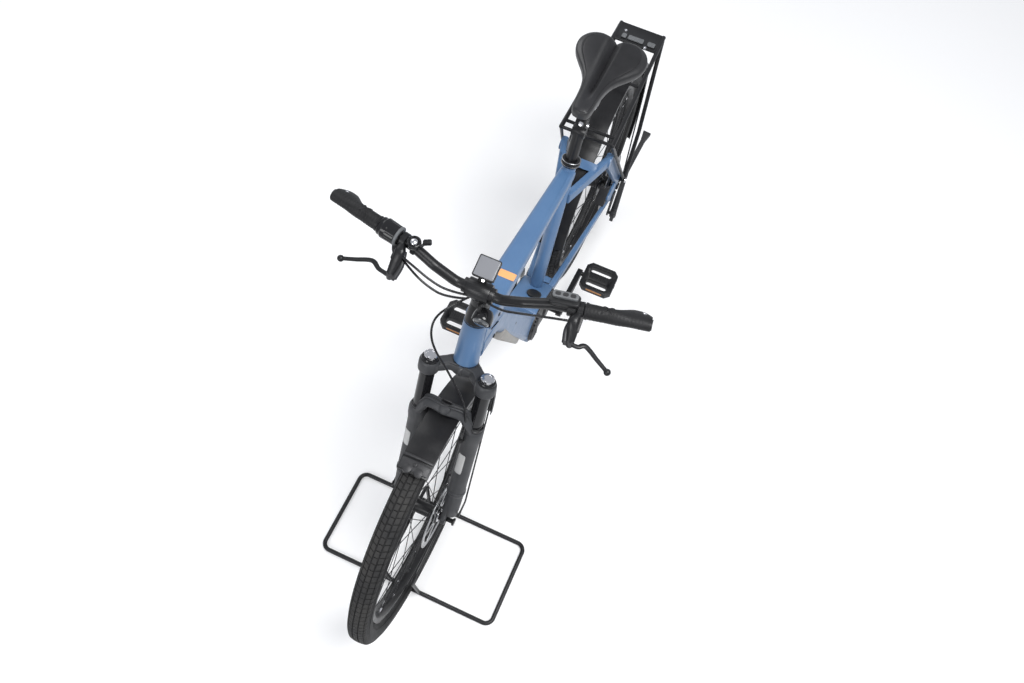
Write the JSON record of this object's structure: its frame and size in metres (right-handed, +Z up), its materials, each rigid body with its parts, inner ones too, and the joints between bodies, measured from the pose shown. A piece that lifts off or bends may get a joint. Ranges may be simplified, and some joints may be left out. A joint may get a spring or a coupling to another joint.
{
  "type": "electric city bicycle on a front wheel stand",
  "caption": "Electric city bicycle with a straight frame, suspension fork, long mudguards, rear carrier and a bent-rod floor stand holding its front wheel.",
  "frame": {"origin": "on the floor under the middle of the outer box", "axes": "+X forward, +Y to the rider's left, +Z up"},
  "size_m": [1.892, 0.6964, 1.0832],
  "materials": {
    "frame_paint": "matt",
    "black_metal": "satin",
    "fork_paint": "matt",
    "dark_steel": "brushed",
    "black_plastic": "moulded",
    "grey_plastic": "moulded",
    "tyre_rubber": "ribbed",
    "grip_rubber": "textured",
    "saddle_cover": "grained"
  },
  "bodies": {
    "front_assembly": {"fork_crown": "fork_paint", "stanchions": "black_metal", "fork_lowers": "fork_paint", "front_axle": "black_metal", "front_caliper": "black_plastic", "front_fender": "black_plastic", "spacers": "black_metal", "stem": "black_metal", "handlebar": "black_metal", "grips": "grip_rubber", "brake_levers": "black_metal", "twist_shifter": "black_plastic", "remote": "black_plastic", "bell": "black_plastic", "display": "black_plastic", "headlight": "black_plastic", "hose_front_brake": "black_plastic", "hose_rear_brake": "black_plastic", "wheel_stand": "black_metal"},
    "frame": {"motor_unit": "black_plastic", "motor_shroud": "frame_paint", "head_tube": "frame_paint", "down_tube": "frame_paint", "top_tube": "frame_paint", "seat_tube": "frame_paint", "chain_stays": "frame_paint", "seat_stays": "frame_paint", "seat_clamp": "black_metal", "saddle": "saddle_cover", "saddle_rails": "black_metal", "seatpost": "black_metal", "rear_axle": "black_metal", "rear_fender": "black_plastic", "rear_rack": "black_metal", "rear_light": "black_plastic", "rear_caliper": "black_plastic", "kick_bracket": "black_metal", "chain": "dark_steel", "battery": "grey_plastic", "charge_port": "black_plastic"},
    "front_wheel": {"tyre_front": "tyre_rubber", "wheel_front": "black_metal", "rotor_front": "dark_steel"},
    "rear_wheel": {"tyre_rear": "tyre_rubber", "wheel_rear": "black_metal", "rotor_rear": "dark_steel", "rear_cog": "dark_steel"},
    "cranks": {"crank_set": "black_metal", "chainring": "dark_steel"},
    "pedal_l": {"pedal_left": "black_plastic"},
    "pedal_r": {"pedal_right": "black_plastic"},
    "side_stand": {"kick_leg": "black_metal"}
  },
  "joints": [
    {"name": "steering", "type": "hinge", "parent": "front_assembly", "child": "frame", "pos_m": [0.36332, 0, 0.77771], "axis": [-0.3907, 0, 0.9205], "range_deg": [-60, 60]},
    {"name": "front_wheel_spin", "type": "hinge", "parent": "front_assembly", "child": "front_wheel", "pos_m": [0.594, 0, 0.352], "axis": [0, 1, 0], "continuous": true},
    {"name": "rear_wheel_spin", "type": "hinge", "parent": "frame", "child": "rear_wheel", "pos_m": [-0.576, 0, 0.352], "axis": [0, 1, 0], "continuous": true},
    {"name": "crank_spin", "type": "hinge", "parent": "frame", "child": "cranks", "pos_m": [-0.113, 0, 0.306], "axis": [0, 1, 0], "continuous": true},
    {"name": "pedal_left_spin", "type": "hinge", "parent": "cranks", "child": "pedal_l", "pos_m": [-0.27988, 0.151, 0.27356], "axis": [0, 1, 0], "continuous": true},
    {"name": "pedal_right_spin", "type": "hinge", "parent": "cranks", "child": "pedal_r", "pos_m": [0.05388, -0.151, 0.33844], "axis": [0, 1, 0], "continuous": true},
    {"name": "side_stand_fold", "type": "hinge", "parent": "frame", "child": "side_stand", "pos_m": [-0.531, 0.102, 0.275], "axis": [0, -0.9659, -0.2588], "range_deg": [0, 72]}
  ]
}
